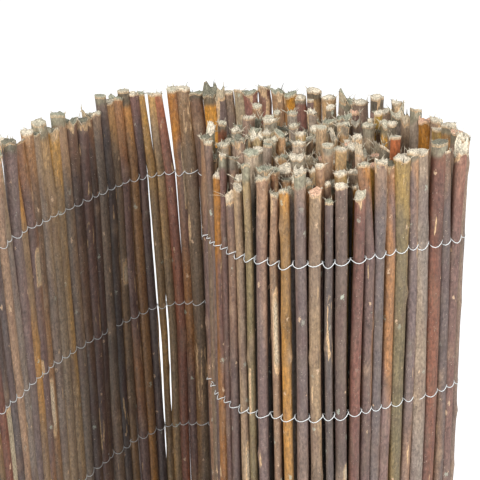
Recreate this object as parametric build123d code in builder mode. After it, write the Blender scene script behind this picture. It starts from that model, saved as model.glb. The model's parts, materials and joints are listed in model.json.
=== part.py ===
# Willow screen, one metre high, standing on its end and partly unrolled.
# Straight willow rods stand side by side and are bound into a mat by rows of galvanised wire.
# Each row has one wire along the outer face of the mat and one along the inner face.
# The mat is wound into a tight coil, leaves it along a front run, folds back round a sharp
# corner and passes behind the coil in one loose turn that ends in a free edge.
# Each rod is a ridge on both faces of the mat, held to the next rod where the two touch.
# +X is to the right of the front, +Y to the back and +Z up along the rods.
# The origin is on the floor, under the first rod, at the core of the coil.
import math
import os

from build123d import *

# Rods, in millimetres; the ends stand above or below the height of the screen
screen_height = 1000.0
rod_thin = 5.2
rod_thick = 9.6
thickness_bias = 0.7
rod_gap = 1.9
rod_contact = 2.4
ridge_slope = 2.3
end_rise = 10.0
end_drop = 18.0
end_level_count = 8
end_step = (end_rise + end_drop) / (end_level_count - 1)
end_levels = [end_rise - step * end_step for step in range(end_level_count)]
bundle_seam = 0.3

# Binding wires; the rows go down from the top for as long as the bottom margin allows
wire_spacing = 125.0
wire_top_margin = 67.5
wire_bottom_margin = 30.0
wire_rows = int((screen_height - wire_top_margin - wire_bottom_margin) / wire_spacing) + 1
wire_thickness = 1.1
wire_clearance = 0.3
wire_stand_off = 1.5
wire_tuck_steps = 2
wire_inner_start = 40.0

# Coil, wound of half circles that each grow by half the distance between turns
core_radius = 7.0
half_turns = 13
turn_clearance = 0.5
turn_spacing = rod_thick + wire_thickness + turn_clearance
coil_end_heading = 28.0

# Loose turn, each leg following on from the one before
front_run_length = 81.0
right_corner_radius = 16.0
right_corner_sweep = 90.0
back_right_length = 84.0
back_bend_radius = 89.0
back_bend_sweep = 46.0
back_run_length = 51.0
back_curve_radius = 241.0
back_curve_sweep = 18.0
left_bend_radius = 58.0
left_bend_sweep = 46.0
left_run_radius = 430.0
left_run_sweep = 22.0
free_end_radius = 300.0
free_end_sweep = 20.0

# Slits of daylight between the rods of the loose turn
slit_share = 0.8
slit_width = 1.6
slit_short = 55.0
slit_long = 150.0
slit_edge_margin = 30.0


def scatter(index, stream):
    """A repeatable number from 0 to 1 for one rod; each stream gives another number."""
    value = math.sin(index * 12.9898 + stream * 78.233) * 43758.5453
    return value - math.floor(value)


def arc_leg(bundle, radius, sweep):
    return {"bundle": bundle, "length": radius * math.radians(sweep), "bend": 1 / radius}


def straight_leg(bundle, length):
    return {"bundle": bundle, "length": length, "bend": 0.0}


def mat_legs():
    """The mat's line seen from above, from the core of the coil to the free edge."""
    coil = [arc_leg("coil", core_radius + k * turn_spacing / 2, 180) for k in range(half_turns)]
    return coil + [
        straight_leg("front_run", front_run_length),
        arc_leg("right_corner", right_corner_radius, right_corner_sweep),
        straight_leg("back_right_run", back_right_length),
        arc_leg("back_bend", back_bend_radius, back_bend_sweep),
        straight_leg("back_run", back_run_length),
        arc_leg("back_run", back_curve_radius, back_curve_sweep),
        arc_leg("left_bend", left_bend_radius, left_bend_sweep),
        arc_leg("left_run", left_run_radius, left_run_sweep),
        arc_leg("free_end_run", free_end_radius, free_end_sweep),
    ]


def advance(x, y, heading, bend, distance):
    """Position and heading after a distance along a leg that bends to the left."""
    if bend == 0:
        return x + distance * math.cos(heading), y + distance * math.sin(heading), heading
    turned = heading + bend * distance
    return (
        x + (math.sin(turned) - math.sin(heading)) / bend,
        y - (math.cos(turned) - math.cos(heading)) / bend,
        turned,
    )


def lay_out(legs):
    """Gives each leg its start along the mat and its first position and heading."""
    x, y = 0.0, 0.0
    heading = math.radians(coil_end_heading - 180 * half_turns)
    start = 0.0
    for leg in legs:
        leg.update(x=x, y=y, heading=heading, start=start)
        x, y, heading = advance(x, y, heading, leg["bend"], leg["length"])
        start += leg["length"]
    return start


def leg_at(distance):
    return next((leg for leg in reversed(legs) if leg["start"] <= distance), legs[0])


def place(distance):
    """Position and heading of the mat's line at a distance from the core."""
    leg = leg_at(distance)
    return advance(leg["x"], leg["y"], leg["heading"], leg["bend"], distance - leg["start"])


def beside(distance, offset):
    """The point at a distance along the mat, offset to the outer side of its line."""
    x, y, heading = place(distance)
    return x + offset * math.sin(heading), y - offset * math.cos(heading)


def set_out_rods(mat_length):
    """The rods in order, each with its room along the mat, its thickness and its cut end."""
    rods = []
    at = 0.0
    level = 0
    while True:
        index = len(rods)
        share = scatter(index, 1) ** thickness_bias
        thickness = rod_thin + (rod_thick - rod_thin) * share
        far = at + thickness + rod_gap
        if far > mat_length:
            return rods
        other_levels = len(end_levels) - 1
        level = (level + 1 + int(scatter(index, 2) * other_levels)) % len(end_levels)
        rods.append(
            {
                "index": index,
                "near": at,
                "far": far,
                "thickness": thickness,
                "level": end_levels[level],
                "bundle": leg_at((at + far) / 2)["bundle"],
            }
        )
        at = far


def from_core(points):
    return [(x - core_x, y - core_y) for x, y in points]


def rod_outline(rod, bundle):
    """A rod from the seam before it to the seam after it, ridged on both faces of the mat."""
    near = rod["near"] + (bundle_seam / 2 if rod is bundle[0] else 0)
    far = rod["far"] - (bundle_seam / 2 if rod is bundle[-1] else 0)
    half = rod["thickness"] / 2
    neck = rod_contact / 2
    sides = [(near, neck), (near + ridge_slope, half), (far - ridge_slope, half), (far, neck)]
    outer = [beside(distance, offset) for distance, offset in sides]
    inner = [beside(distance, -offset) for distance, offset in reversed(sides)]
    return outer + inner


def slit_span(rod):
    """Bottom and top of the slit after a rod; one that comes near the rod ends is left open."""
    length = slit_short + (slit_long - slit_short) * scatter(rod["index"], 4)
    highest_bottom = screen_height - slit_edge_margin
    bottom = slit_edge_margin + (highest_bottom - slit_edge_margin) * scatter(rod["index"], 5)
    top = bottom + length
    if top > screen_height - end_drop - slit_edge_margin:
        top = screen_height + end_rise + slit_edge_margin
    return bottom, top


def rod_wall(bundle, slit_rods):
    """The rods of one bundle side by side, with their uneven ends and the slits after some."""
    with BuildPart() as wall:
        for level in end_levels:
            rods_of_level = [rod for rod in bundle if rod["level"] == level]
            if not rods_of_level:
                continue
            with BuildSketch():
                for rod in rods_of_level:
                    with BuildLine():
                        Polyline(*from_core(rod_outline(rod, bundle)), close=True)
                    make_face()
            extrude(amount=screen_height + level)
        for rod in slit_rods:
            x, y, heading = place(rod["far"])
            bottom, top = slit_span(rod)
            centre = (x - core_x, y - core_y, (bottom + top) / 2)
            with Locations(Location(centre, (0, 0, math.degrees(heading)))):
                Box(slit_width, 2 * rod_thick, top - bottom, mode=Mode.SUBTRACT)
    return wall.part


def wire_steps(leg):
    """How many straight pieces a taut wire takes round a leg."""
    if leg["bend"] == 0:
        return 1
    radius = 1 / leg["bend"]
    step_angle = 2 * math.acos(radius / (radius + wire_stand_off))
    return math.ceil(leg["length"] / radius / step_angle)


def outer_corners(first, last, reach):
    """Corners of a taut line on the outer side, which only touches each bend."""
    corners = []
    for leg in legs:
        if leg["bend"] == 0:
            continue
        step = leg["length"] / wire_steps(leg)
        radius = 1 / leg["bend"]
        stand_off = (radius + reach) / math.cos(step / radius / 2) - radius
        middles = [leg["start"] + (n + 0.5) * step for n in range(wire_steps(leg))]
        corners += [beside(middle, stand_off) for middle in middles if first < middle < last]
    return [beside(first, reach), *corners, beside(last, reach)]


def inner_corners(first, last, reach):
    """Corners of a taut line on the inner side, each on the bend itself."""
    stations = [
        leg["start"] + n * leg["length"] / wire_steps(leg)
        for leg in legs
        for n in range(wire_steps(leg))
    ]
    inside = [distance for distance in stations if first < distance < last]
    return [beside(distance, -reach) for distance in (first, *inside, last)]


def wire_row(height):
    """One row: the outer wire, turned round the free edge, and back as the inner wire."""
    near_reach = rod_thick / 2 + wire_clearance
    far_reach = near_reach + wire_thickness
    exposed_turn = legs[half_turns - 2]
    tuck = wire_tuck_steps * exposed_turn["length"] / wire_steps(exposed_turn)
    outer_start = exposed_turn["start"] + tuck
    inner_start = legs[half_turns]["start"] + wire_inner_start
    turn_near = rods[-1]["far"] + wire_clearance
    turn_far = turn_near + wire_thickness
    outline = (
        outer_corners(outer_start, turn_far, far_reach)
        + inner_corners(inner_start, turn_far, far_reach)[::-1]
        + inner_corners(inner_start, turn_near, near_reach)
        + outer_corners(outer_start, turn_near, near_reach)[::-1]
    )
    with BuildPart() as row:
        with BuildSketch(Plane.XY.offset(height - wire_thickness / 2)):
            with BuildLine():
                Polyline(*from_core(outline), close=True)
            make_face()
        extrude(amount=wire_thickness)
    return row.part


# The mat's line, its rods and the core that everything is placed from
legs = mat_legs()
rods = set_out_rods(lay_out(legs))
core_x, core_y = beside((rods[0]["near"] + rods[0]["far"]) / 2, 0)

bundles = {}
for rod in rods:
    bundles.setdefault(rod["bundle"], []).append(rod)

os.makedirs("parts", exist_ok=True)

for name, bundle in bundles.items():
    loose = name != "coil"
    slit_rods = [rod for rod in bundle[:-1] if loose and scatter(rod["index"], 3) < slit_share]
    wall = rod_wall(bundle, slit_rods)
    wall.label = name
    export_step(wall, f"parts/{name}.step")

for row in range(wire_rows):
    wire = wire_row(screen_height - wire_top_margin - row * wire_spacing)
    wire.label = f"wire_row_{row + 1}"
    export_step(wire, f"parts/wire_row_{row + 1}.step")
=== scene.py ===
import json
import math

import bpy
import numpy as np
from mathutils import Matrix, Vector

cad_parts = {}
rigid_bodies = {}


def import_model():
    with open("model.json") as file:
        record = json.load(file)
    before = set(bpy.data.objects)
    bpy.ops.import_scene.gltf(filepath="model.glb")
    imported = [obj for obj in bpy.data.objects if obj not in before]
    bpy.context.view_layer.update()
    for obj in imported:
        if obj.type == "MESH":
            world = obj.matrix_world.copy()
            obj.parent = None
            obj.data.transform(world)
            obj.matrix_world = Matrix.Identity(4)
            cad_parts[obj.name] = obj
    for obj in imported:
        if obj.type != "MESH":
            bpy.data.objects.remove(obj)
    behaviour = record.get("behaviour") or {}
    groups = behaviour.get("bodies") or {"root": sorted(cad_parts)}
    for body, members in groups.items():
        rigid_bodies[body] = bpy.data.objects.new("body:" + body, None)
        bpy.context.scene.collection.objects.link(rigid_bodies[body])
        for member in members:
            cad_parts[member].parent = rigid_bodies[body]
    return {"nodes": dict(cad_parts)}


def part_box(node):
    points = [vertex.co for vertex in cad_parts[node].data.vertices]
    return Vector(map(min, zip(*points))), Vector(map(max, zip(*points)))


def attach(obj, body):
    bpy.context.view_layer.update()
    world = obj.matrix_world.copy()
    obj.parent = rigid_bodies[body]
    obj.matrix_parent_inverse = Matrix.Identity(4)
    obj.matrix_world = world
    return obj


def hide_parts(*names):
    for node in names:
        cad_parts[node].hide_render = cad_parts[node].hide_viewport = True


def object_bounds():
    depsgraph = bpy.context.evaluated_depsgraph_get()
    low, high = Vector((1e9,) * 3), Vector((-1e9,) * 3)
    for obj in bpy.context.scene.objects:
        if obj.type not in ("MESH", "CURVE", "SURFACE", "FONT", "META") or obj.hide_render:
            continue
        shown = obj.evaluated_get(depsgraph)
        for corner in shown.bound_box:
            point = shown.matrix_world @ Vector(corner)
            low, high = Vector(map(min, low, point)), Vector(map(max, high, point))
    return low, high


for start_object in list(bpy.data.objects):
    bpy.data.objects.remove(start_object)
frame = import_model()
solid_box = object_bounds()

# The view: from the front and above, over the top third of the screen, where the coil and the
# loose turn behind it can both be seen. The camera is tipped a little to one side.
CAMERA_PLACE = (-0.0448, -0.9188, 1.3026)
CAMERA_PITCH = math.radians(22.6)
CAMERA_ROLL = math.radians(-1.21)

camera_data = bpy.data.cameras.new("view")
camera_data.sensor_width = 36
camera_data.lens = 97.5
camera = bpy.data.objects.new("view", camera_data)
bpy.context.scene.collection.objects.link(camera)
camera.matrix_world = (
    Matrix.Translation(CAMERA_PLACE)
    @ Matrix.Rotation(math.pi / 2 - CAMERA_PITCH, 4, "X")
    @ Matrix.Rotation(CAMERA_ROLL, 4, "Z")
)
bpy.context.scene.camera = camera


# The rods, from the core of the coil to the free edge. Each is a straight willow stick cut at
# both ends. Their places, thicknesses and heights, and the slits of daylight between them, are
# read from the level faces of the walls.
WALLS = (
    "coil",
    "front_run",
    "right_corner",
    "back_right_run",
    "back_bend",
    "back_run",
    "left_bend",
    "left_run",
    "free_end_run",
)
LOWEST_END = 0.978
FLOOR_LEVEL = 0.001
LEVEL_COSINE = 0.99
WIDEST_HALF_GAP = 0.0014
NO_SLIT = 9.0
LOOSE_TOP_SPREAD = 0.32


def level_faces(node, facing):
    """Corner points of each flat patch of a wall that faces up (1) or down (-1): its level
    triangles, joined wherever they share a corner."""
    mesh = frame["nodes"][node].data
    points = np.empty(len(mesh.vertices) * 3)
    mesh.vertices.foreach_get("co", points)
    loops = np.empty(len(mesh.loops), dtype=int)
    mesh.loops.foreach_get("vertex_index", loops)
    places, index = np.unique(np.round(points.reshape(-1, 3), 5), axis=0, return_inverse=True)
    faces = index.ravel()[loops].reshape(-1, 3)
    a, b, c = places[faces].transpose(1, 0, 2)
    normal = np.cross(b - a, c - a)
    size = np.linalg.norm(normal, axis=1)
    faces = faces[(facing * normal[:, 2] > LEVEL_COSINE * size) & (size > 0)]
    label = np.arange(len(places))
    while True:
        joined = label.copy()
        np.minimum.at(joined, faces, label[faces].min(axis=1)[:, None])
        if (joined == label).all():
            break
        label = joined
    used = np.unique(faces)
    return [places[used[label[used] == one]] for one in np.unique(label[used])]


def apart(one, other):
    """The least distance in plan between the corners of two rod ends."""
    gap = one[:, None, :2] - other[None, :, :2]
    return np.sqrt((gap**2).sum(axis=2)).min()


def in_order(ends, start):
    """The ends one after another along the mat, each time the one that is nearest to the last."""
    ordered = []
    last = start
    while ends:
        nearest = min(range(len(ends)), key=lambda n: apart(last, ends[n]))
        last = ends.pop(nearest)
        ordered.append(last)
    return ordered


ends = []
wall_of = []
slit_bottoms = []
slit_tops = []
walked_to = np.zeros((1, 3))
for wall in WALLS:
    upper = level_faces(wall, 1)
    found = in_order([patch for patch in upper if patch[0, 2] > LOWEST_END], walked_to)
    walked_to = found[-1]
    ends += found
    wall_of += [wall] * len(found)
    slit_bottoms += [patch for patch in upper if patch[0, 2] < LOWEST_END]
    slit_tops += [patch for patch in level_faces(wall, -1) if patch[0, 2] > FLOOR_LEVEL]
wall_of = np.array(wall_of)
centre = np.array([corners[:, :2].mean(axis=0) for corners in ends])
top = np.array([corners[0, 2] for corners in ends])
along = np.gradient(centre, axis=0)
along /= np.linalg.norm(along, axis=1)[:, None]
outward = np.stack([along[:, 1], -along[:, 0]], axis=1)
radius = np.array(
    [np.ptp(corners[:, :2] @ normal) / 2 for corners, normal in zip(ends, outward)]
)
rod_count = len(ends)
first_loose = int(np.argmax(wall_of != "coil"))

# The loose rods stand more level than their ridges do, and none of them above the highest one.
cad_top = top.copy()
top[first_loose:] = top.max() - LOOSE_TOP_SPREAD * (top.max() - top[first_loose:])

# Each gap has the number of the rod after it: half its width, and the slit in it if it has one.
gap_place = (centre[:-1] + centre[1:]) / 2
half_gap = (np.linalg.norm(np.diff(centre, axis=0), axis=1) - radius[:-1] - radius[1:]) / 2
half_gap = np.clip(np.concatenate([half_gap[:1], half_gap, half_gap[-1:]]), 0, WIDEST_HALF_GAP)


def slit_heights(patches):
    """The height of the level patch in each gap between rods, or NO_SLIT where there is none."""
    heights = np.full(rod_count + 1, NO_SLIT)
    for patch in patches:
        away = np.linalg.norm(gap_place - patch[:, :2].mean(axis=0), axis=1)
        heights[1 + np.argmin(away)] = patch[0, 2]
    return heights


slit_low = slit_heights(slit_bottoms)
slit_high = slit_heights(slit_tops)


# The coil: the mat wound on itself about its first rod. The rods of its outermost turn show over
# their whole length, and inside it only the cut ends do. The bark is purple-brown, chestnut or
# ochre, with pale pores and scuffs, and the ends are crushed, frayed and weathered grey.
def linear(code):
    """A colour from its six-figure code, in the linear values that shaders use."""
    part = np.array([int(code[n : n + 2], 16) for n in (0, 2, 4)]) / 255
    return np.where(part <= 0.04045, part / 12.92, ((part + 0.055) / 1.055) ** 2.4)


def palette(*codes):
    """Colours from their codes, one to a row."""
    return np.array([linear(code) for code in codes])


BARKS = palette(
    "7b5d53", "8f6e48", "84533f", "675046", "a07c4a", "8c753f", "996a34", "8d7764", "73534a"
)
TIPS = palette(
    "b08054", "bf8e58", "9f6850", "8c6d56", "cda064", "b5955c", "c28a50", "ac9274", "935f4e"
)
BARK_SHARES = (0.17, 0.14, 0.10, 0.11, 0.12, 0.08, 0.11, 0.08, 0.09)
TIP_STARTS = (0.925, 0.990)
TIP_BLEND = 0.014
STRENGTHS = (0.5, 1.5)
LIGHTNESSES = (0.78, 1.2)
FADED_COIL, FADED_LOOSE = 0.12, 0.42
LIGHT_COIL, LIGHT_LOOSE = 0.93, 1.05
CUTS = palette("f8ead0", "e0d6bc", "b9b79f", "8e8975", "f6c6a6")
CUT_SHARES_LEFT = np.array([0.24, 0.30, 0.29, 0.15, 0.02])
CUT_SHARES_RIGHT = np.array([0.52, 0.31, 0.08, 0.03, 0.06])
CUTS_CHANGE = (-0.06, 0.05)
FIBRE_SHARES = (0.5, 0.3, 0.1, 0.1, 0.0)
WOOD = linear("e8c8a0")
SCAR = linear("b89a7c")
DUST = linear("cdc2ab")
COLLARS = palette("949079", "7d7763", "615b4d")
COLLARED_COIL, COLLARED_LOOSE, COLLARED_LOW = 0.35, 0.75, 0.10
TALL_COLLAR, LOW_COLLAR = 0.011, 0.004
SHADOW_DEPTHS = (0.014, 0.040)

# Cut ends are clean, domed, crushed, split or slanting, and each of these rows is in that order.
# Tilts, teeth, domes, flares, crumbling and middles are shares of the rod's radius.
SPLIT = 3
END_SHARES = (0.10, 0.32, 0.32, 0.13, 0.13)
END_TILTS = (0.15, 0.2, 0.3, 0.5, 1.1)
END_TEETH = (0.03, 0.16, 0.34, 0.55, 0.10)
END_DOMES = (0.0, 0.7, 0.45, 0.0, 0.0)
END_FLARES = (0.02, 0.07, 0.22, 0.08, 0.03)
END_CRUMBLING = (0.03, 0.22, 0.32, 0.34, 0.10)
END_MIDDLES = (0.0, 0.9, 0.4, -0.7, 0.0)
END_STRIPS = (0.0, 0.2, 0.6, 0.9, 0.3)
FIBRE_LENGTHS = (0.25, 0.8, 1.3, 1.7, 0.6)
STRIP_LENGTH = 0.014
LIP_DEPTHS = (0.0006, 0.0022)
TONGUE_DEPTHS = (0.005, 0.012)
TORN_DEPTH = 0.030
TORN_RINGS = np.array([30, 24, 19, 15, 11.5, 8.5, 6, 4, 2.4, 1.1, 0]) / 1000
FACE_RINGS = np.array([0.92, 0.76, 0.52, 0.26])

# Above FREE_FROM a rod is free of the top wire, and rods cut above TALL have weathered most. A
# slit in a wall opens between rods over a short way, outside its ends and within them.
ROD_SIDES = 16
FREE_FROM = 0.930
TALL = 0.9985
SLIT_TAPER = (0.02, 0.01)
BUDS = 8
BUD_LENGTH = 0.0055
PEELS = 5
PEEL_SHARE = 0.30
PEEL_HEIGHTS = (0.10, 0.94)
PEEL_HALF_LENGTHS = (0.010, 0.045)
PEEL_WEAR = 0.8
FIBRES_INSIDE = 12
FIBRES_OUTSIDE = 7
FIBRE_SIDES = 3
FIBRE_RINGS = np.array([-0.25, 0.45, 0.85])
FIBRE_TAPER = np.array([1.0, 0.8, 0.35])
FIBRE_THICKNESS = (0.00018, 0.00055)
SHORTEST_FIBRE = 0.0008
HEADROOM = 0.0002

# Each bow that neighbours share: its size, its climbs from rod to rod and up the rod, its phase.
SHARED_BOWS = ((0.0011, 0.11, 5.0, 0.4), (0.0007, 0.31, 9.0, 2.1), (0.0004, 0.63, 15.0, 4.4))
OWN_BOW_CLIMBS = (6.0, 14.0, 5.0, 11.0)
INNER_BOW = 0.0008
OUTER_BOW = 0.0015
MOST_SPLAY = 0.06
MOST_NOD = 0.05
OUT_OF_MAT = (0.4, 0.7)

# Leans along the mat above the top wire; below it, from LEANS_FROM up, a rod leans by LOW_LEAN
# of that. Rods of the coil's outer turn show whole, and leans are evened out over NEIGHBOURS.
LEANS = {
    "coil": 0.0,
    "front_run": -0.02,
    "right_corner": -0.02,
    "back_right_run": 0.0,
    "back_bend": 0.01,
    "back_run": 0.07,
    "left_bend": 0.09,
    "left_run": 0.05,
    "free_end_run": 0.02,
}
LEANS_FROM = 0.78
LOW_LEAN = 0.35
OUTER_TURN = 54
NEIGHBOURS = 7


def ramp(value, low, high):
    """0 below low, 1 above high, and a smooth step between them."""
    t = np.clip((value - low) / (high - low), 0, 1)
    return t * t * (3 - 2 * t)


def waves(rng, count, rounds, climbs):
    """A smooth wander over a rod's surface: a sum of waves round and up the rod, with its own
    phases and sizes on each rod."""
    phase = rng.uniform(0, 2 * np.pi, (len(rounds), count, 1, 1))
    size = rng.uniform(0.5, 1, (len(rounds), count, 1, 1)) / len(rounds)

    def at(angle, height):
        total = 0
        for n, (turns, climb) in enumerate(zip(rounds, climbs)):
            total = total + size[n] * np.sin(turns * angle + climb * height + phase[n])
        return total

    return at


def closing(gap, height):
    """How far a rod swells into the gap beside it: half the gap, and nothing beside a slit."""
    low = slit_low[gap][:, None, None]
    high = slit_high[gap][:, None, None]
    outside, within = SLIT_TAPER
    opened = ramp(height, low - outside, low + within)
    opened = opened * (1 - ramp(height, high - within, high + outside))
    return half_gap[gap][:, None, None] * (1 - opened)


def torn_rim(rng, kind, r, angle):
    """Heights of the rim round each rod's end, from its tallest point down: a tilt, a few waves
    and random teeth, and on a split end a tongue that stands above the rest. Also how far each
    point belongs to the tongue."""
    count = len(kind)
    toward = rng.uniform(0, 2 * np.pi, (count, 1, 1))
    tilt = np.choose(kind, END_TILTS) * rng.uniform(0.3, 1, (count, 1, 1))
    teeth = rng.uniform(-1, 1, (count, 1, ROD_SIDES))
    teeth = teeth + 1.6 * waves(rng, count, (2, 3, 5), (0, 0, 0))(angle, 0)
    tongue = np.where(kind == SPLIT, ramp(np.cos(angle - toward), -0.1, 0.5), 1)
    drop = (1 - tongue) * rng.uniform(0.004, 0.011, (count, 1, 1))
    rim = r * tilt * np.cos(angle - toward) + np.choose(kind, END_TEETH) * r * teeth - drop
    dome = np.choose(kind, END_DOMES) * r * rng.uniform(0.2, 1, (count, 1, 1))
    return rim - rim.max(axis=2, keepdims=True) - dome, np.where(kind == SPLIT, tongue, 0)


def end_face(rng, kind, r, rim, high):
    """Heights of the rings drawn in over the cut: a blend from the rim to a middle that is level,
    domed or hollow, with crumbling that fades towards it, and nothing above the rod's top."""
    count = len(kind)
    inset = FACE_RINGS[None, :, None]
    crumbs = rng.uniform(-1, 1, (count, len(FACE_RINGS), ROD_SIDES))
    crumbs = np.choose(kind, END_CRUMBLING) * r * crumbs
    middle = np.choose(kind, END_MIDDLES) * r * rng.uniform(0.3, 1, (count, 1, 1))
    middle = rim.mean(axis=2, keepdims=True) + middle
    return np.minimum(high + rim * inset + middle * (1 - inset) + crumbs * inset, high)


def near_buds(rng, angle, height):
    """How near a point is to each of its rod's buds: a bell curve up the rod and one round it."""
    count = len(height)
    bud_height = rng.uniform(0.03, 1.0, (count, 1, 1, BUDS))
    bud_angle = rng.uniform(0, 2 * np.pi, (count, 1, 1, BUDS))
    up_rod = np.exp(-(((height[..., None] - bud_height) / BUD_LENGTH) ** 2))
    round_rod = np.exp(3 * (np.cos(angle[..., None] - bud_angle) - 1))
    return up_rod, round_rod


def bent_line(chosen, height):
    """How far each rod's line strays along the mat and out of it: a bow that its neighbours
    share, one of its own, a lean along the mat, and a splay of the free length above the wire.
    A bow is a sine of the height, and the shared one of the rod's number as well."""
    number = chosen[:, None, None]
    shared = sum(
        size * np.sin(by_rod * number + climb * height + phase)
        for size, by_rod, climb, phase in SHARED_BOWS
    )
    own = [
        bow_size[n, chosen][:, None, None]
        * np.sin(climb * height + bow_phase[n, chosen][:, None, None])
        for n, climb in enumerate(OWN_BOW_CLIMBS)
    ]
    reach = bow_reach[chosen][:, None, None]
    lean = smooth_lean[chosen][:, None, None]
    low_lean = lean * LOW_LEAN * (np.clip(height, LEANS_FROM, FREE_FROM) - FREE_FROM)
    free = np.maximum(height - FREE_FROM, 0)
    sideways = shared + reach * (own[0] + own[1]) + low_lean
    sideways = sideways + (splay[chosen][:, None, None] + lean) * free
    forwards = OUT_OF_MAT[0] * shared + OUT_OF_MAT[1] * reach * (own[2] + own[3])
    return sideways, forwards + nod[chosen][:, None, None] * free


wall_lean = np.pad([LEANS[wall] for wall in wall_of], NEIGHBOURS // 2, mode="edge")
smooth_lean = np.convolve(wall_lean, np.ones(NEIGHBOURS) / NEIGHBOURS, mode="valid")
bow_reach = np.where(np.arange(rod_count) < first_loose - OUTER_TURN, INNER_BOW, OUTER_BOW)
bows = np.random.default_rng(7)
bow_phase = bows.uniform(0, 2 * np.pi, (4, rod_count))
bow_size = bows.uniform(0.25, 0.5, (4, rod_count))
splay = np.clip(bows.normal(0, 0.026, rod_count), -MOST_SPLAY, MOST_SPLAY)
nod = np.clip(bows.normal(0.004, 0.024, rod_count), -MOST_NOD, MOST_NOD)


def round_line(chosen, angle, height, sideways, forwards, width, girth):
    """Points round the rods' bent lines: ovals in plan, as wide along the mat as width and out of
    it as girth, turned to the mat's own directions."""
    side = (sideways + width * np.cos(angle))[..., None] * along[chosen][:, None, None, :]
    front = (forwards - girth * np.sin(angle))[..., None] * outward[chosen][:, None, None, :]
    plan = centre[chosen][:, None, None, :] + side + front
    return np.concatenate([plan, height[..., None]], axis=-1)


def fibres(rng, base, out, length_share):
    """Torn fibres as thin three-sided spikes: each starts at a point of a rim, rises and bends
    outwards by the square of the way along it, and narrows to nothing."""
    count = len(base)
    up = np.array([0, 0, 1.0])
    lean = rng.uniform(-0.5, 1.1, (count, 1))
    stray = rng.normal(0, 0.35, (count, 3))
    heading = up + lean * out + stray
    heading /= np.linalg.norm(heading, axis=1)[:, None]
    length = rng.gamma(2.2, 0.0010, (count, 1)) * length_share + SHORTEST_FIBRE
    room_above = solid_box[1][2] - HEADROOM - base[:, 2:]
    length = np.minimum(length, np.maximum(room_above, HEADROOM))
    bend = 0.35 * length * (out + 0.5 * stray)
    aslant = np.array([0.37, 0.61, 0.7])
    side = np.cross(heading, aslant)
    side /= np.linalg.norm(side, axis=1)[:, None]
    other = np.cross(heading, side)
    thick = rng.uniform(*FIBRE_THICKNESS, (count, 1))
    line = (
        base[:, None]
        + FIBRE_RINGS[None, :, None] * (length * heading)[:, None]
        + (np.maximum(FIBRE_RINGS, 0) ** 2)[None, :, None] * bend[:, None]
    )
    turn = np.arange(FIBRE_SIDES) / FIBRE_SIDES * 2 * np.pi
    ring = np.cos(turn)[None, :, None] * side[:, None] + np.sin(turn)[None, :, None] * other[:, None]
    points = line[:, :, None] + (thick * FIBRE_TAPER)[:, :, None, None] * ring[:, None]
    tip = base + length * heading + bend
    return np.concatenate([points.reshape(count, -1, 3), line[:, :1], tip[:, None]], axis=1)


def end_fibres(rng, rims, kind, torn):
    """Points and colours of the fibres that stand round the rims of the cut ends, as many to each
    rod as are torn, all leaning away from the middle of the rim."""
    owner = np.repeat(np.arange(len(rims)), torn)
    base = rims[owner, rng.integers(0, ROD_SIDES, len(owner))]
    out = base - rims[owner].mean(axis=1)
    out[:, 2] = 0
    out /= np.linalg.norm(out, axis=1)[:, None]
    length_share = np.choose(kind.ravel()[owner], FIBRE_LENGTHS)[:, None]
    spikes = fibres(rng, base, out, length_share)
    shades = CUTS[rng.choice(len(CUTS), len(owner), p=FIBRE_SHARES)]
    shades = shades * rng.uniform(0.7, 1.1, (len(owner), 1))
    return spikes.reshape(-1, 3), np.repeat(shades, spikes.shape[1], axis=0)


def tube_faces(tubes, rings, sides):
    """Faces of closed tubes whose points are stored tube by tube: every ring, then the bottom
    pole, then the top pole."""
    start = np.arange(tubes)[:, None, None] * (rings * sides + 2)
    ring = np.arange(rings - 1)[None, :, None] * sides
    side = np.arange(sides)[None, None, :]
    turn = (side + 1) % sides
    low, high = start + ring, start + ring + sides
    wall = np.stack([low + side, low + turn, high + turn, high + side], axis=-1).reshape(-1, 4)
    start, side, turn = start[:, 0], side[0], turn[0]
    bottom, upper = start + rings * sides, start + (rings - 1) * sides
    under = np.stack(np.broadcast_arrays(bottom, start + turn, start + side), axis=-1)
    over = np.stack(np.broadcast_arrays(bottom + 1, upper + side, upper + turn), axis=-1)
    return [wall, np.concatenate([under.reshape(-1, 3), over.reshape(-1, 3)])]


def add_mesh(name, points, faces, material, colours=None, worn_and_shaded=None):
    """A mesh object from arrays of points and of faces, each array with its own corner count."""
    mesh = bpy.data.meshes.new(name)
    mesh.vertices.add(len(points))
    mesh.vertices.foreach_set("co", points.astype(np.float32).ravel())
    corners = np.concatenate([np.full(len(part), part.shape[1]) for part in faces])
    mesh.loops.add(int(corners.sum()))
    mesh.loops.foreach_set("vertex_index", np.concatenate([part.ravel() for part in faces]))
    mesh.polygons.add(len(corners))
    mesh.polygons.foreach_set("loop_start", np.concatenate([[0], np.cumsum(corners)[:-1]]))
    mesh.polygons.foreach_set("use_smooth", np.ones(len(corners), dtype=bool))
    mesh.update(calc_edges=True)
    if colours is not None:
        layer = mesh.color_attributes.new("bark", "FLOAT_COLOR", "POINT")
        rgba = np.concatenate([colours, np.ones((len(colours), 1))], axis=1)
        layer.data.foreach_set("color", rgba.astype(np.float32).ravel())
        layer = mesh.attributes.new("worn_and_shaded", "FLOAT", "POINT")
        layer.data.foreach_set("value", worn_and_shaded.astype(np.float32).ravel())
    mesh.materials.append(material)
    piece = bpy.data.objects.new(name, mesh)
    bpy.context.scene.collection.objects.link(piece)
    return piece


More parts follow.
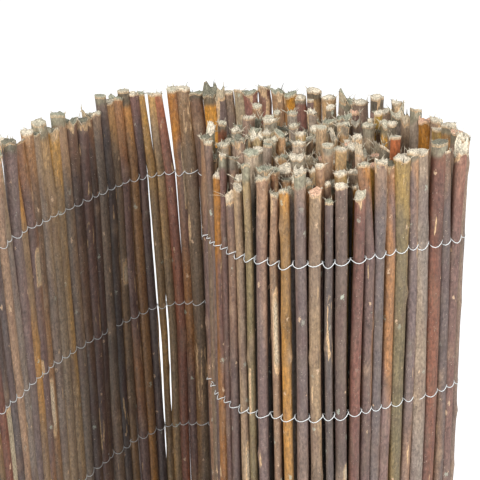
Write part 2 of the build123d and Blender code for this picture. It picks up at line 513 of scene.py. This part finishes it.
def peeled(rng, angle, height):
    """Where the bark has come off in a long strip: on some rods, at a height and on a side of
    their own, a parabola up the rod times a cosine round it. Its soft edges break up in the grain
    of the bark."""
    count = len(height)
    middle = rng.uniform(*PEEL_HEIGHTS, (count, 1, 1, PEELS))
    half_length = rng.uniform(*PEEL_HALF_LENGTHS, (count, 1, 1, PEELS))
    toward = rng.uniform(0, 2 * np.pi, (count, 1, 1, PEELS))
    narrow = rng.uniform(0.45, 0.9, (count, 1, 1, PEELS))
    there = rng.random((count, 1, 1, PEELS)) < PEEL_SHARE
    lengthways = 1 - ((height[..., None] - middle) / half_length) ** 2
    round_rod = np.cos(angle[..., None] - toward)
    strips = ramp(lengthways, 0, 0.5) * ramp(round_rod, narrow, narrow + 0.25) * there
    return PEEL_WEAR * strips.max(axis=-1)


def bark_tones(rng, chosen, angle, height):
    """The bark's own colour, and the mottle that breaks up the edges of what lies on it. Each rod
    has a low colour, and its tip colour above a height of its own and in patches below it; it is
    greyer or stronger, and lighter or darker, than the next rod."""
    count = len(chosen)
    choice = rng.choice(len(BARKS), count, p=BARK_SHARES)
    low_colour = BARKS[choice][:, None, None, :]
    tip_colour = TIPS[choice][:, None, None, :]
    change = rng.uniform(*TIP_STARTS, (count, 1, 1))
    strength = rng.uniform(0.25, 1.0, (count, 1, 1))
    mottle = waves(rng, count, (1, 2, 3, 1), (35, 60, 95, 12))(angle, height)
    tipped = ramp(height + 0.02 * mottle, change - TIP_BLEND, change + TIP_BLEND) * strength
    patches = waves(rng, count, (1, 0, 1), (13, 29, 6))(angle, height)
    tipped = np.clip(tipped + 0.6 * ramp(patches, -0.05, 0.4), 0, 1)[..., None]
    in_coil = (chosen < first_loose)[:, None, None, None]
    fade = np.where(in_coil, FADED_COIL, FADED_LOOSE)
    grey = low_colour.mean(axis=-1, keepdims=True)
    low_colour = low_colour + (grey - low_colour) * fade
    tip_colour = tip_colour * (1 - 0.45 * fade) + 0.25 * fade * grey
    colour = low_colour * (1 - tipped) + tip_colour * tipped
    grey = colour.mean(axis=-1, keepdims=True)
    colour = grey + (colour - grey) * rng.uniform(*STRENGTHS, (count, 1, 1, 1))
    colour = np.clip(colour, 0.01, 1) * rng.uniform(*LIGHTNESSES, (count, 1, 1, 1))
    return colour * np.where(in_coil, LIGHT_COIL, LIGHT_LOOSE), mottle


def with_collars(rng, chosen, colour, depth, mottle):
    """The bark with a grey collar under the cut, on many of the tall rods and on a few others."""
    count = len(chosen)
    tall = cad_top[chosen] > TALL
    tall_share = np.where(chosen < first_loose, COLLARED_COIL, COLLARED_LOOSE)
    old_share = np.where(tall, tall_share, COLLARED_LOW)
    old = (rng.random(count) < old_share)[:, None, None]
    reach = np.where(tall, TALL_COLLAR, LOW_COLLAR)[:, None, None]
    reach = reach * rng.uniform(0.5, 1.3, (count, 1, 1))
    collar = (1 - ramp(depth + 0.004 * mottle, reach - 0.001, reach + 0.002)) * old
    grey = COLLARS[rng.integers(0, len(COLLARS), count)][:, None, None, :]
    return colour + (grey - colour) * (0.9 * collar)[..., None]


def bare_wood(rng, kind, angle, height, depth, tongue, mottle):
    """How bare the wood is: the greatest of the strips torn down from the cut, the lip at it, the
    tongue of a split end and the strips that have peeled."""
    strip = np.choose(kind, END_STRIPS) * ramp(mottle, 0.12, 0.3)
    strip = strip * np.clip(1 - depth / STRIP_LENGTH, 0, 1)
    lip = np.broadcast_to(0.9 * (1 - ramp(depth, *LIP_DEPTHS)), mottle.shape)
    tongue = tongue * (1 - ramp(depth, *TONGUE_DEPTHS))
    return np.maximum.reduce([strip, lip, tongue, peeled(rng, angle, height)])


def cut_colours(rng, chosen):
    """The colour of each rod's cut wood: more grey ones at the left, more fresh ones at the right."""
    rightward = ramp(centre[chosen, 0], *CUTS_CHANGE)[:, None]
    shares = CUT_SHARES_LEFT * (1 - rightward) + CUT_SHARES_RIGHT * rightward
    pick = (rng.random((len(chosen), 1)) > np.cumsum(shares, axis=1)).sum(axis=1)
    return CUTS[np.minimum(pick, len(CUTS) - 1)][:, None, None, :]


def bark_colours(rng, chosen, kind, angle, height, depth, tongue, inside):
    """Colour and wear down the rods, and colour over their cut ends. Inside the coil the bark is
    dusty, and below the cut it goes dark with painted shade, which dims the wear there as well, so
    that the bare wood takes the painted shade too."""
    colour, mottle = bark_tones(rng, chosen, angle, height)
    colour = with_collars(rng, chosen, colour, depth, mottle)
    worn_and_shaded = bare_wood(rng, kind, angle, height, depth, tongue, mottle)
    cut = cut_colours(rng, chosen)
    bare = np.where(worn_and_shaded[..., None] > 0, 0.5 * WOOD + 0.5 * cut, 0)
    colour = colour + (bare - colour) * worn_and_shaded[..., None]
    patchy = rng.choice((0.0, 0.0, 0.03, 0.07), len(chosen))[:, None, None]
    worn_and_shaded = np.maximum(worn_and_shaded, patchy)
    if inside:
        colour = colour + (DUST - colour) * 0.32
        # Painted shade inside the coil: the bark darkens with depth below the cut, and the wear is
        # dimmed by the same shade.
        shadow = 1 - 0.9 * ramp(depth, *SHADOW_DEPTHS)
        colour = colour * shadow[..., None]
        worn_and_shaded = worn_and_shaded * shadow
    fleck = rng.uniform(0.6, 1.15, (len(chosen), len(FACE_RINGS), ROD_SIDES, 1))
    return colour, worn_and_shaded, np.broadcast_to(cut, fleck.shape[:3] + (3,)) * fleck


def with_buds(colour, up_rod, round_rod, scar_painted_light):
    """The bark with a dark ring round the rod at each bud, and a pale scar on the bud itself. The
    scar's colour is scaled by the last argument, a quarter inside the coil: painted shade.
    """
    scar = np.clip((up_rod * round_rod).sum(axis=-1), 0, 1)[..., None]
    ring = np.clip(up_rod.sum(axis=-1), 0, 1)[..., None] * (1 - scar)
    colour = colour * (1 - 0.3 * ring)
    return colour + (SCAR * scar_painted_light - colour) * 0.45 * scar


def grow_rods(name, chosen, shaft_rings, seed, slim, snug, broad_top=0.0, inside=False):
    """Rods as closed tubes on a grid of angle and height. The radius swells at the buds, towards
    closed gaps and, by broad_top, above the wire; the line bows and leans, and the last rings are
    cut, crushed or split. Rings drawn in to the pith close the end, with torn fibres round it."""
    rng = np.random.default_rng(seed)
    count = len(chosen)
    r = radius[chosen][:, None, None]
    high = top[chosen][:, None, None]
    angle = (np.arange(ROD_SIDES) / ROD_SIDES * 2 * np.pi)[None, None, :]
    kind = rng.choice(len(END_SHARES), count, p=END_SHARES)[:, None, None]
    rim, tongue = torn_rim(rng, kind, r, angle)

    depth = np.concatenate([shaft_rings, TORN_RINGS])[None, :, None]
    stretch = np.clip(1 - depth / TORN_DEPTH, 0, 1)
    height = np.where(depth >= TORN_DEPTH, high - depth, high - TORN_DEPTH)
    height = np.maximum(height, 0) + stretch * (TORN_DEPTH + rim)
    height[:, 0] = 0

    up_rod, round_rod = near_buds(rng, angle, height)
    bud = (up_rod * (0.05 + 0.26 * round_rod)).sum(axis=-1)
    taper = 1 + rng.uniform(-0.09, 0.09, (count, 1, 1)) * (height - 0.8)
    lumps = waves(rng, count, (2, 3, 1, 2), (9, 23, 60, 130))(angle, height)
    flare = np.choose(kind, END_FLARES) * rng.uniform(0.4, 1.2, (count, 1, 1))
    flare = flare * np.clip(1 - depth / 0.010, 0, 1) ** 2
    broadened = broad_top * ramp(height, FREE_FROM, 0.985)
    girth = r * slim * taper * (1 + 0.055 * lumps + bud + flare + broadened)
    into_gap = np.where(np.cos(angle) > 0, closing(chosen + 1, height), closing(chosen, height))
    width = girth + snug * into_gap
    sideways, forwards = bent_line(chosen, height)
    shaft = round_line(chosen, angle, height, sideways, forwards, width, girth)

    inset = FACE_RINGS[None, :, None]
    face_height = end_face(rng, kind, r, rim, high)
    last_line = (sideways[:, -1:], forwards[:, -1:])
    last_size = (inset * width[:, -1:], inset * girth[:, -1:])
    face = round_line(chosen, angle, face_height, *last_line, *last_size)

    colour, worn_and_shaded, cut = bark_colours(rng, chosen, kind, angle, height, depth, tongue, inside)
    # Inside the coil the bud scars are dimmed to a quarter: painted shade.
    colour = with_buds(colour, up_rod, round_rod, 0.25 if inside else 1.0)

    grid = np.concatenate([shaft, face], axis=1)
    poles = np.stack([grid[:, 0].mean(axis=1), grid[:, -1].mean(axis=1)], axis=1)
    points = np.concatenate([grid.reshape(count, -1, 3), poles], axis=1).reshape(-1, 3)
    shades = np.concatenate([np.broadcast_to(colour, shaft.shape), cut], axis=1)
    # The bottom cap takes the first ring's colour at 0.6: painted shade under the rod.
    pole_shades = np.stack([shades[:, 0, 0] * 0.6, cut[:, -1].mean(axis=1) * 0.75], axis=1)
    shades = np.concatenate([shades.reshape(count, -1, 3), pole_shades], axis=1).reshape(-1, 3)
    # The shafts' wear holds the painted shade inside the coil; the cut faces, poles and fibres have
    # full wear.
    wear_and_shade = np.concatenate([np.broadcast_to(worn_and_shaded, shaft.shape[:3]), np.ones(cut.shape[:3])], axis=1)
    wear_and_shade = np.concatenate([wear_and_shade.reshape(count, -1), np.ones((count, 2))], axis=1).ravel()

    torn = FIBRES_INSIDE if inside else FIBRES_OUTSIDE
    spikes, spike_shades = end_fibres(rng, shaft[:, -1], kind, torn)
    faces = tube_faces(count, grid.shape[1], ROD_SIDES)
    spike_faces = tube_faces(count * torn, len(FIBRE_RINGS), FIBRE_SIDES)
    faces += [part + len(points) for part in spike_faces]
    points = np.clip(np.concatenate([points, spikes]), *np.array(solid_box))
    shades = np.concatenate([shades, spike_shades])
    wear_and_shade = np.concatenate([wear_and_shade, np.ones(len(spikes))])
    return add_mesh(name, points, faces, bark, shades, wear_and_shade)


def new_material(name):
    """An empty material and its node tree."""
    material = bpy.data.materials.new(name)
    material.use_nodes = True
    material.node_tree.nodes.clear()
    return material, material.node_tree


def add_node(tree, kind, inputs, **settings):
    """A shader node with its settings made and its inputs given values or links."""
    made = tree.nodes.new("ShaderNode" + kind)
    for key, value in settings.items():
        setattr(made, key, value)
    for key, value in inputs.items():
        if isinstance(value, bpy.types.NodeSocket):
            tree.links.new(value, made.inputs[key])
        else:
            made.inputs[key].default_value = value
    return made.outputs


def noise(tree, where, scale, detail, roughness=0.5):
    """Noise in object space, with its own number of lumps to the metre along each axis."""
    place = add_node(tree, "Mapping", {"Vector": where, "Scale": scale})[0]
    inputs = {"Vector": place, "Scale": 1.0, "Detail": detail, "Roughness": roughness}
    return add_node(tree, "TexNoise", inputs)[0]


def spots(tree, where, scale, edge, core):
    """Uneven spots scattered in object space: 1 within core of a spot's centre, 0 past edge."""
    place = add_node(tree, "Mapping", {"Vector": where, "Scale": scale})[0]
    ragged = noise(tree, where, (800, 800, 600), 2.0)
    away = add_node(tree, "TexVoronoi", {"Vector": place, "Scale": 1.0})["Distance"]
    away = combine(tree, "ADD", away, remap(tree, ragged, 0.3, 0.7, -0.07, 0.07))
    return remap(tree, away, edge, core, 0.0, 1.0)


def remap(tree, value, low, high, to_low, to_high):
    """A value's stretch from low to high laid on another, and held at its ends."""
    return add_node(tree, "MapRange", {0: value, 1: low, 2: high, 3: to_low, 4: to_high})[0]


def combine(tree, operation, one, other):
    """The sum, product, difference or greater of two values."""
    return add_node(tree, "Math", {0: one, 1: other}, operation=operation)[0]


def scaled(tree, colour, factor):
    """A colour made lighter or darker by a factor."""
    inputs = {"Vector": colour, "Scale": factor}
    return add_node(tree, "VectorMath", inputs, operation="SCALE")[0]


def blended(tree, factor, one, other):
    """The first colour where the factor is 0, and the other where it is 1."""
    return add_node(tree, "Mix", {0: factor, 6: one, 7: other}, data_type="RGBA")[2]


def solid(code):
    """A colour from its code, as a shader's colour input takes it."""
    return (*linear(code), 1.0)


def bark_material():
    """Bark from each rod's own colours, mottled and streaked, with a grey film, pale pores and scuffs
    and a little lichen. It gives way to fibrous bare wood where the wear is high, with an uneven
    edge, and in a few flakes elsewhere. Inside the coil both the colours and the wear come in with
    painted shade."""
    material, tree = new_material("willow_bark")
    own = add_node(tree, "Attribute", {}, attribute_name="bark")["Color"]
    wear_and_shade = add_node(tree, "Attribute", {}, attribute_name="worn_and_shaded")["Fac"]
    where = add_node(tree, "TexCoord", {})["Object"]

    mottle = noise(tree, where, (620, 620, 330), 6.0, 0.62)
    streaks = noise(tree, where, (900, 900, 70), 3.0)
    shade = combine(
        tree,
        "MULTIPLY",
        remap(tree, mottle, 0.30, 0.70, 0.50, 1.52),
        remap(tree, streaks, 0.30, 0.70, 0.80, 1.20),
    )
    skin = scaled(tree, own, shade)
    film = remap(tree, noise(tree, where, (150, 150, 45), 5.0, 0.6), 0.45, 0.75, 0.0, 0.40)
    skin = blended(tree, film, skin, solid("8a7763"))
    tint = remap(tree, noise(tree, where, (90, 90, 30), 3.0), 0.50, 0.68, 0.0, 0.30)
    skin = blended(tree, tint, skin, solid("6b4a44"))
    crowded = remap(tree, noise(tree, where, (70, 70, 40), 2.0), 0.42, 0.62, 0.12, 0.75)
    pores = spots(tree, where, (520, 520, 420), 0.17, 0.06)
    skin = blended(tree, combine(tree, "MULTIPLY", pores, crowded), skin, solid("d9cab4"))
    scuffs = spots(tree, where, (95, 95, 48), 0.10, 0.075)
    skin = blended(tree, combine(tree, "MULTIPLY", scuffs, 0.85), skin, solid("d8b795"))
    crust = spots(tree, where, (62, 62, 46), 0.095, 0.08)
    skin = blended(tree, combine(tree, "MULTIPLY", crust, crowded), skin, solid("c6ccb8"))
    moss = noise(tree, where, (200, 200, 110), 6.0, 0.7)
    skin = blended(tree, remap(tree, moss, 0.68, 0.72, 0.0, 0.7), skin, solid("a5b09a"))

    grain = noise(tree, where, (1250, 1250, 420), 3.0, 0.6)
    wood = blended(tree, remap(tree, wear_and_shade, 0.3, 0.7, 0.0, 1.0), solid("dcb88e"), own)
    wood = scaled(tree, wood, remap(tree, grain, 0.32, 0.66, 0.45, 1.22))
    flakes = noise(tree, where, (190, 190, 20), 4.0, 0.55)
    bare = combine(tree, "ADD", flakes, wear_and_shade)
    bare = remap(tree, bare, 0.700, 0.720, 0.0, 1.0)
    surface = blended(tree, bare, skin, wood)

    relief = combine(tree, "ADD", mottle, combine(tree, "MULTIPLY", grain, bare))
    relief = combine(tree, "SUBTRACT", relief, combine(tree, "MULTIPLY", bare, 0.5))
    bump = add_node(tree, "Bump", {"Height": relief, "Strength": 0.55, "Distance": 0.0007})
    shader = add_node(
        tree,
        "BsdfPrincipled",
        {
            "Base Color": surface,
            "Roughness": remap(tree, bare, 0.0, 1.0, 0.46, 0.88),
            "Normal": bump[0],
        },
    )
    add_node(tree, "OutputMaterial", {"Surface": shader[0]})
    return material


bark = bark_material()

# Rings of the shafts, by their depth below the cut.
FINE_SHAFT = np.concatenate([np.linspace(1.0, 0.345, 46), np.linspace(0.335, 0.037, 42)])
PLAIN_SHAFT = np.concatenate([np.linspace(1.0, 0.30, 8), np.linspace(0.24, 0.04, 10)])
inner_turns = np.arange(0, first_loose - OUTER_TURN)
outer_turn = np.arange(first_loose - OUTER_TURN, first_loose)
inner_rods = grow_rods(
    "coil_inner_rods", inner_turns, PLAIN_SHAFT, seed=11, slim=1.0, snug=0.5, inside=True
)
outer_rods = grow_rods("coil_outer_rods", outer_turn, FINE_SHAFT, seed=12, slim=0.90, snug=0.0)
for rods in (inner_rods, outer_rods):
    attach(rods, "root")
    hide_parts("coil")


# The loose turn: the same willow rods between the coil and the free edge, seen from both faces.
# They nearly touch, with daylight only at the slits, are a little broader above the top wire and
# lean towards the free edge at the left.
BROAD_TOP = 0.09

for number, wall in enumerate(WALLS[1:]):
    chosen = np.flatnonzero(wall_of == wall)
    rods = grow_rods(
        f"{wall}_rods", chosen, FINE_SHAFT, seed=20 + number, slim=1.04, snug=1.1, broad_top=BROAD_TOP
    )
    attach(rods, "root")
    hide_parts(wall)


# The binding wires: rows of thin galvanised wire, two strands to a row. The strands pass either
# side of each rod in a slack loop and cross in the gap before the next one.
WIRE_RADIUS = 0.00031
WIRE_SIDES = 5
STAND_OFF = WIRE_RADIUS * 1.6
PASSING_LIFT = WIRE_RADIUS * 1.1
CROSSING_RISE = 0.0004
GAP_SHARE = 0.9
SAG_SHIFT = 0.4
LOOP_SWEEP = np.radians([-68, -46, -22, 0, 22, 46, 68])
SAG = (0.0018, 0.0044)
ROW_WAVE = (0.0004, 0.0010)
ROW_JITTER = 0.00045
BOUND_OF_COIL = 44
CUT_ENDS = 9
CUT_END_POINTS = 6
CUT_END_REACH = (0.004, 0.007)


def wire_material():
    """Dull zinc: pale grey metal with faint cloudy patches in its colour and gloss."""
    material, tree = new_material("galvanised_wire")
    where = add_node(tree, "TexCoord", {})["Object"]
    cloud = noise(tree, where, (260, 260, 260), 3.0)
    tint = blended(tree, cloud, solid("e0e6e6"), solid("fafcfb"))
    shader = add_node(
        tree,
        "BsdfPrincipled",
        {
            "Base Color": tint,
            "Roughness": remap(tree, cloud, 0.3, 0.7, 0.35, 0.55),
        },
    )
    add_node(tree, "OutputMaterial", {"Surface": shader[0]})
    return material


def strand(bound, first_side, height, dip):
    """The line of one strand: a loop over each rod, on the outer and inner side in turn, that
    hangs lowest before the middle of the rod, and a crossing high in each gap."""
    count = len(bound)
    side = np.where((np.arange(count) + first_side) % 2 == 0, 1.0, -1.0)
    thick = radius[bound] + STAND_OFF
    wide = thick + GAP_SHARE * half_gap[bound]
    a = along[bound][:, None, :]
    o = outward[bound][:, None, :]
    sideways, forwards = bent_line(bound, height[:, :, None])
    bound_centre = centre[bound] + sideways[:, 0] * along[bound] + forwards[:, 0] * outward[bound]
    over = bound_centre[:, None, :] + (wide[:, None] * np.sin(LOOP_SWEEP))[..., None] * a
    over = over + (side[:, None] * thick[:, None] * np.cos(LOOP_SWEEP))[..., None] * o
    level = height - dip * np.cos(LOOP_SWEEP + SAG_SHIFT * side[:, None]) ** 2
    line = np.concatenate([over, level[..., None]], axis=2)
    gap = (bound_centre[:-1] + bound_centre[1:]) / 2
    rise = (height[:-1, 0] + height[1:, 0]) / 2 + PASSING_LIFT * side[:-1] + CROSSING_RISE
    crossing = np.concatenate([gap, rise[:, None]], axis=1)
    tail = line[-1:, -1] + (line[-1:, -1] - line[-1:, -2])
    crossing = np.concatenate([crossing, tail])[:, None]
    return np.concatenate([line, crossing], axis=1).reshape(-1, 3)


def round_wire(line, thick):
    """Points of a round wire carried along a line, its sections square to the line."""
    heading = np.gradient(line, axis=0)
    heading /= np.linalg.norm(heading, axis=1)[:, None]
    up = np.array([0, 0, 1.0]) - heading * heading[:, 2:]
    up /= np.linalg.norm(up, axis=1)[:, None]
    side = np.cross(heading, up)
    turn = np.arange(WIRE_SIDES) / WIRE_SIDES * 2 * np.pi
    around = np.cos(turn)[None, :, None] * side[:, None] + np.sin(turn)[None, :, None] * up[:, None]
    ring = line[:, None] + thick * around
    return np.concatenate([ring.reshape(-1, 3), line[:1], line[-1:]])


def cut_end(first_rod, height, side, reach):
    """A short cut end of wire: it leaves the gap after a rod at a row, on the outer side (1) or
    the inner side (-1) of the mat, and curls up and away from it."""
    share = np.linspace(0, 1, CUT_END_POINTS)[:, None]
    root = (centre[first_rod] + centre[first_rod + 1]) / 2
    stand_off = side * (0.7 * radius[first_rod] + 0.45 * reach * share**1.6)
    drift = 0.30 * reach * np.sin(2.4 * share)
    plan = root + stand_off * outward[first_rod] + drift * along[first_rod]
    return np.concatenate([plan, height + 0.75 * reach * share], axis=1)


zinc = wire_material()
exposed = np.arange(first_loose - BOUND_OF_COIL, rod_count)
step = np.arange(len(exposed))
wire_nodes = sorted(name for name in frame["nodes"] if name.startswith("wire_row"))
for number, node in enumerate(wire_nodes):
    rng = np.random.default_rng(40 + number)
    low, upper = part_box(node)
    wander = sum(
        rng.uniform(*ROW_WAVE) * np.sin(step * rate + rng.uniform(0, 6.3))
        for rate in (0.07, 0.19, 0.45)
    )
    wander = wander + rng.normal(0, ROW_JITTER, len(step))
    height = ((low[2] + upper[2]) / 2 + wander)[:, None]
    dip = rng.uniform(*SAG, (len(exposed), 1))
    lines = [strand(exposed, first, height, dip) for first in (0, 1)]
    strays = rng.choice(np.arange(exposed[0], rod_count - 1), CUT_ENDS, replace=False)
    stray_ends = [
        cut_end(rod, height[rod - exposed[0], 0], rng.choice((1, -1)), rng.uniform(*CUT_END_REACH))
        for rod in strays
    ]
    points = np.concatenate([round_wire(line, WIRE_RADIUS) for line in lines + stray_ends])
    strand_points = 2 * (len(lines[0]) * WIRE_SIDES + 2)
    faces = tube_faces(2, len(lines[0]), WIRE_SIDES)
    end_faces = tube_faces(CUT_ENDS, len(stray_ends[0]), WIRE_SIDES)
    faces += [part + strand_points for part in end_faces]
    points = np.clip(points, *np.array(solid_box))
    wire = add_mesh(f"{node}_strands", points, faces, zinc)
    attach(wire, "root")
    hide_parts(node)


# The floor: plain white, with a little of its own light to the camera, so that only the shadow
# of the screen shows on it.
FLOOR_REACH = 12.0
FLOOR_DEPTH = 0.0002
FLOOR_GLOW = 0.70


def floor_material():
    """Matt white that adds a plain glow for the camera alone."""
    material, tree = new_material("floor_white")
    rays = add_node(tree, "LightPath", {})
    matt = add_node(tree, "BsdfDiffuse", {"Color": (0.9, 0.9, 0.9, 1)})[0]
    glow = add_node(tree, "Emission", {"Color": (1, 1, 1, 1), "Strength": FLOOR_GLOW})[0]
    lit = add_node(tree, "AddShader", {0: matt, 1: glow})[0]
    shader = add_node(tree, "MixShader", {0: rays["Is Camera Ray"], 1: matt, 2: lit})[0]
    add_node(tree, "OutputMaterial", {"Surface": shader})
    return material


corner = np.array([[-1, -1, 0], [1, -1, 0], [1, 1, 0], [-1, 1, 0]]) * FLOOR_REACH
corner[:, 2] = -FLOOR_DEPTH
floor = add_mesh("floor", corner, [np.array([[0, 1, 2, 3]])], floor_material())


# The light: two soft lamps, the brighter one from the upper left, in plain white surroundings
# that light the screen less than they show.
SKY_COLOUR = (0.93, 0.96, 1.0, 1)
SKY_STRENGTH = 0.44
LIT_PLACE = (0, 0, 0.8)

world = bpy.data.worlds.new("surroundings")
bpy.context.scene.world = world
world.use_nodes = True
sky = world.node_tree
sky.nodes.clear()
rays = add_node(sky, "LightPath", {})
seen = combine(sky, "MAXIMUM", rays["Is Camera Ray"], rays["Is Glossy Ray"])
seen = combine(sky, "MAXIMUM", seen, rays["Is Transmission Ray"])
soft = add_node(sky, "Background", {"Color": SKY_COLOUR, "Strength": SKY_STRENGTH})[0]
plain = add_node(sky, "Background", {"Color": (1, 1, 1, 1), "Strength": 1.0})[0]
either = add_node(sky, "MixShader", {0: seen, 1: soft, 2: plain})[0]
add_node(sky, "OutputWorld", {"Surface": either})


def lamp(name, place, size, power):
    """A square lamp at a place, turned to the upper part of the screen."""
    data = bpy.data.lights.new(name, "AREA")
    data.size = size
    data.energy = power
    light = bpy.data.objects.new(name, data)
    bpy.context.scene.collection.objects.link(light)
    light.location = place
    light.rotation_euler = (Vector(place) - Vector(LIT_PLACE)).to_track_quat("Z", "Y").to_euler()


lamp("key", place=(-1.3, -1.6, 2.4), size=1.0, power=54)
lamp("fill", place=(1.8, -1.2, 1.6), size=1.2, power=31)

bpy.context.scene.view_settings.view_transform = "Standard"
